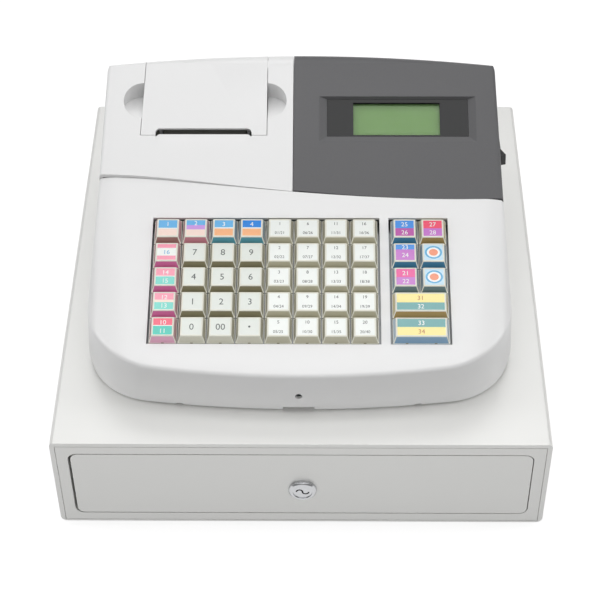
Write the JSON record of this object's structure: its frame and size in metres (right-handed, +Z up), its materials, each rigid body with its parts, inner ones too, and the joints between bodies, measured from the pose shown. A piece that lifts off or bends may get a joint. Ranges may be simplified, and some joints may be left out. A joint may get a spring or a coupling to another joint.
{
  "type": "electronic cash register with cash drawer",
  "caption": "Electronic cash register with a sloping colour-keyed keyboard, receipt printer and display, standing on a lockable steel cash drawer.",
  "frame": {"origin": "middle of the footprint, including the lock's nose, at the level of the feet's undersides", "axes": "+Z up, -Y towards the person at the keys (the drawer opens that way), +X to that person's right"},
  "size_m": [0.33, 0.351, 0.1995],
  "materials": {
    "cabinet_paint": "satin",
    "steel": "satin",
    "chrome": "polished",
    "rubber": "matte",
    "white_plastic": "satin",
    "grey_plastic": "fine texture",
    "black_plastic": "satin",
    "dark_lens": "polished",
    "display_green": "satin",
    "paper": "matte",
    "key_pale": "satin",
    "key_pink": "satin",
    "key_blue": "satin",
    "key_violet": "satin",
    "key_yellow": "satin"
  },
  "bodies": {
    "base": {"cabinet_base": "cabinet_paint", "cabinet_cover": "cabinet_paint", "cabinet_feet": "rubber", "cabinet_rails": "steel", "display_housing": "grey_plastic", "display_window": "dark_lens", "front_frame": "cabinet_paint", "key_switch_plate": "steel", "lcd_module": "display_green", "lower_case": "white_plastic", "power_jack": "black_plastic", "power_switch_case": "black_plastic", "print_mechanism": "black_plastic", "printer_housing": "white_plastic", "release_solenoid": "steel", "upper_case": "white_plastic"},
    "drawer": {"drawer_front": "cabinet_paint", "drawer_box": "steel", "lock_housing": "chrome", "cash_tray": "black_plastic"},
    "lock_core": {"lock_plug": "steel"},
    "note_clips": {"bill_clips": "black_plastic"},
    "latch": {"latch_lever": "steel"},
    "paper_cover": {"printer_cover": "white_plastic"},
    "platen": {"platen_roller": "rubber"},
    "receipt_roll": {"paper_roll": "paper"},
    "rocker": {"power_rocker": "black_plastic"},
    "press_key_0": {"key_0": "key_pale"},
    "press_key_00": {"key_00": "key_pale"},
    "press_key_1": {"key_1": "key_pale"},
    "press_key_2": {"key_2": "key_pale"},
    "press_key_3": {"key_3": "key_pale"},
    "press_key_4": {"key_4": "key_pale"},
    "press_key_5": {"key_5": "key_pale"},
    "press_key_6": {"key_6": "key_pale"},
    "press_key_7": {"key_7": "key_pale"},
    "press_key_8": {"key_8": "key_pale"},
    "press_key_9": {"key_9": "key_pale"},
    "press_key_clear": {"key_clear": "key_pink"},
    "press_key_function_1": {"key_function_1": "key_pink"},
    "press_key_function_2": {"key_function_2": "key_pink"},
    "press_key_function_3": {"key_function_3": "key_pink"},
    "press_key_pad_left_1": {"key_pad_left_1": "key_violet"},
    "press_key_pad_left_2": {"key_pad_left_2": "key_violet"},
    "press_key_pad_left_3": {"key_pad_left_3": "key_violet"},
    "press_key_pad_right_1": {"key_pad_right_1": "key_violet"},
    "press_key_pad_right_2": {"key_pad_right_2": "key_violet"},
    "press_key_pad_right_3": {"key_pad_right_3": "key_violet"},
    "press_key_point": {"key_point": "key_pale"},
    "press_key_subtotal": {"key_subtotal": "key_yellow"},
    "press_key_top_1": {"key_top_1": "key_blue"},
    "press_key_top_2": {"key_top_2": "key_blue"},
    "press_key_top_3": {"key_top_3": "key_blue"},
    "press_key_top_4": {"key_top_4": "key_blue"},
    "press_key_total": {"key_total": "key_yellow"},
    "press_keys_department_1": {"keys_department_1": "key_pale"},
    "press_keys_department_2": {"keys_department_2": "key_pale"},
    "press_keys_department_3": {"keys_department_3": "key_pale"},
    "press_keys_department_4": {"keys_department_4": "key_pale"}
  },
  "joints": [
    {"name": "drawer_slide", "type": "slide", "parent": "base", "child": "drawer", "axis": [0, -1, 0], "range_m": [0, 0.24]},
    {"name": "lock_turn", "type": "hinge", "parent": "drawer", "child": "lock_core", "pos_m": [0.0011, -0.1725, 0.0385], "axis": [0, -1, 0], "range_deg": [0, 90]},
    {"name": "note_clips_lift", "type": "hinge", "parent": "drawer", "child": "note_clips", "pos_m": [0, 0.1145, 0.053], "axis": [-1, 0, 0], "range_deg": [0, 45], "stiffness_Nm_per_rad": 0.05, "springref_deg": -17.19},
    {"name": "latch_turn", "type": "hinge", "parent": "base", "child": "latch", "pos_m": [0.014, 0.1615, 0.018], "axis": [0, 0, -1], "range_deg": [0, 9.5], "stiffness_Nm_per_rad": 0.02, "springref_deg": -11.46},
    {"name": "paper_cover_hinge", "type": "hinge", "parent": "base", "child": "paper_cover", "pos_m": [0, 0.0892, 0.1885], "axis": [-1, 0, 0], "range_deg": [0, 80]},
    {"name": "platen_turn", "type": "hinge", "parent": "paper_cover", "child": "platen", "pos_m": [-0.069, 0.0445, 0.166], "axis": [1, 0, 0], "continuous": true},
    {"name": "receipt_roll_turn", "type": "hinge", "parent": "base", "child": "receipt_roll", "pos_m": [-0.069, 0.0668, 0.144], "axis": [1, 0, 0], "continuous": true},
    {"name": "power_rocker_tilt", "type": "hinge", "parent": "base", "child": "rocker", "pos_m": [0.13901, 0.0435, 0.1503], "axis": [0.0523, 0.0006, -0.9986], "range_deg": [0, 28]},
    {"name": "key_0_travel", "type": "slide", "parent": "base", "child": "press_key_0", "axis": [0, 0.2617, -0.9652], "range_m": [0, 0.003], "stiffness_N_per_m": 150, "springref_m": -0.002},
    {"name": "key_00_travel", "type": "slide", "parent": "base", "child": "press_key_00", "axis": [0, 0.2617, -0.9652], "range_m": [0, 0.003], "stiffness_N_per_m": 150, "springref_m": -0.002},
    {"name": "key_1_travel", "type": "slide", "parent": "base", "child": "press_key_1", "axis": [0, 0.2617, -0.9652], "range_m": [0, 0.003], "stiffness_N_per_m": 150, "springref_m": -0.002},
    {"name": "key_2_travel", "type": "slide", "parent": "base", "child": "press_key_2", "axis": [0, 0.2617, -0.9652], "range_m": [0, 0.003], "stiffness_N_per_m": 150, "springref_m": -0.002},
    {"name": "key_3_travel", "type": "slide", "parent": "base", "child": "press_key_3", "axis": [0, 0.2617, -0.9652], "range_m": [0, 0.003], "stiffness_N_per_m": 150, "springref_m": -0.002},
    {"name": "key_4_travel", "type": "slide", "parent": "base", "child": "press_key_4", "axis": [0, 0.2617, -0.9652], "range_m": [0, 0.003], "stiffness_N_per_m": 150, "springref_m": -0.002},
    {"name": "key_5_travel", "type": "slide", "parent": "base", "child": "press_key_5", "axis": [0, 0.2617, -0.9652], "range_m": [0, 0.003], "stiffness_N_per_m": 150, "springref_m": -0.002},
    {"name": "key_6_travel", "type": "slide", "parent": "base", "child": "press_key_6", "axis": [0, 0.2617, -0.9652], "range_m": [0, 0.003], "stiffness_N_per_m": 150, "springref_m": -0.002},
    {"name": "key_7_travel", "type": "slide", "parent": "base", "child": "press_key_7", "axis": [0, 0.2617, -0.9652], "range_m": [0, 0.003], "stiffness_N_per_m": 150, "springref_m": -0.002},
    {"name": "key_8_travel", "type": "slide", "parent": "base", "child": "press_key_8", "axis": [0, 0.2617, -0.9652], "range_m": [0, 0.003], "stiffness_N_per_m": 150, "springref_m": -0.002},
    {"name": "key_9_travel", "type": "slide", "parent": "base", "child": "press_key_9", "axis": [0, 0.2617, -0.9652], "range_m": [0, 0.003], "stiffness_N_per_m": 150, "springref_m": -0.002},
    {"name": "key_clear_travel", "type": "slide", "parent": "base", "child": "press_key_clear", "axis": [0, 0.2617, -0.9652], "range_m": [0, 0.003], "stiffness_N_per_m": 150, "springref_m": -0.002},
    {"name": "key_function_1_travel", "type": "slide", "parent": "base", "child": "press_key_function_1", "axis": [0, 0.2617, -0.9652], "range_m": [0, 0.003], "stiffness_N_per_m": 150, "springref_m": -0.002},
    {"name": "key_function_2_travel", "type": "slide", "parent": "base", "child": "press_key_function_2", "axis": [0, 0.2617, -0.9652], "range_m": [0, 0.003], "stiffness_N_per_m": 150, "springref_m": -0.002},
    {"name": "key_function_3_travel", "type": "slide", "parent": "base", "child": "press_key_function_3", "axis": [0, 0.2617, -0.9652], "range_m": [0, 0.003], "stiffness_N_per_m": 150, "springref_m": -0.002},
    {"name": "key_pad_left_1_travel", "type": "slide", "parent": "base", "child": "press_key_pad_left_1", "axis": [0, 0.2617, -0.9652], "range_m": [0, 0.003], "stiffness_N_per_m": 150, "springref_m": -0.002},
    {"name": "key_pad_left_2_travel", "type": "slide", "parent": "base", "child": "press_key_pad_left_2", "axis": [0, 0.2617, -0.9652], "range_m": [0, 0.003], "stiffness_N_per_m": 150, "springref_m": -0.002},
    {"name": "key_pad_left_3_travel", "type": "slide", "parent": "base", "child": "press_key_pad_left_3", "axis": [0, 0.2617, -0.9652], "range_m": [0, 0.003], "stiffness_N_per_m": 150, "springref_m": -0.002},
    {"name": "key_pad_right_1_travel", "type": "slide", "parent": "base", "child": "press_key_pad_right_1", "axis": [0, 0.2617, -0.9652], "range_m": [0, 0.003], "stiffness_N_per_m": 150, "springref_m": -0.002},
    {"name": "key_pad_right_2_travel", "type": "slide", "parent": "base", "child": "press_key_pad_right_2", "axis": [0, 0.2617, -0.9652], "range_m": [0, 0.003], "stiffness_N_per_m": 150, "springref_m": -0.002},
    {"name": "key_pad_right_3_travel", "type": "slide", "parent": "base", "child": "press_key_pad_right_3", "axis": [0, 0.2617, -0.9652], "range_m": [0, 0.003], "stiffness_N_per_m": 150, "springref_m": -0.002},
    {"name": "key_point_travel", "type": "slide", "parent": "base", "child": "press_key_point", "axis": [0, 0.2617, -0.9652], "range_m": [0, 0.003], "stiffness_N_per_m": 150, "springref_m": -0.002},
    {"name": "key_subtotal_travel", "type": "slide", "parent": "base", "child": "press_key_subtotal", "axis": [0, 0.2617, -0.9652], "range_m": [0, 0.003], "stiffness_N_per_m": 150, "springref_m": -0.002},
    {"name": "key_top_1_travel", "type": "slide", "parent": "base", "child": "press_key_top_1", "axis": [0, 0.2617, -0.9652], "range_m": [0, 0.003], "stiffness_N_per_m": 150, "springref_m": -0.002},
    {"name": "key_top_2_travel", "type": "slide", "parent": "base", "child": "press_key_top_2", "axis": [0, 0.2617, -0.9652], "range_m": [0, 0.003], "stiffness_N_per_m": 150, "springref_m": -0.002},
    {"name": "key_top_3_travel", "type": "slide", "parent": "base", "child": "press_key_top_3", "axis": [0, 0.2617, -0.9652], "range_m": [0, 0.003], "stiffness_N_per_m": 150, "springref_m": -0.002},
    {"name": "key_top_4_travel", "type": "slide", "parent": "base", "child": "press_key_top_4", "axis": [0, 0.2617, -0.9652], "range_m": [0, 0.003], "stiffness_N_per_m": 150, "springref_m": -0.002},
    {"name": "key_total_travel", "type": "slide", "parent": "base", "child": "press_key_total", "axis": [0, 0.2617, -0.9652], "range_m": [0, 0.003], "stiffness_N_per_m": 150, "springref_m": -0.002},
    {"name": "keys_department_1_travel", "type": "slide", "parent": "base", "child": "press_keys_department_1", "axis": [0, 0.2617, -0.9652], "range_m": [0, 0.003], "stiffness_N_per_m": 150, "springref_m": -0.002},
    {"name": "keys_department_2_travel", "type": "slide", "parent": "base", "child": "press_keys_department_2", "axis": [0, 0.2617, -0.9652], "range_m": [0, 0.003], "stiffness_N_per_m": 150, "springref_m": -0.002},
    {"name": "keys_department_3_travel", "type": "slide", "parent": "base", "child": "press_keys_department_3", "axis": [0, 0.2617, -0.9652], "range_m": [0, 0.003], "stiffness_N_per_m": 150, "springref_m": -0.002},
    {"name": "keys_department_4_travel", "type": "slide", "parent": "base", "child": "press_keys_department_4", "axis": [0, 0.2617, -0.9652], "range_m": [0, 0.003], "stiffness_N_per_m": 150, "springref_m": -0.002}
  ]
}
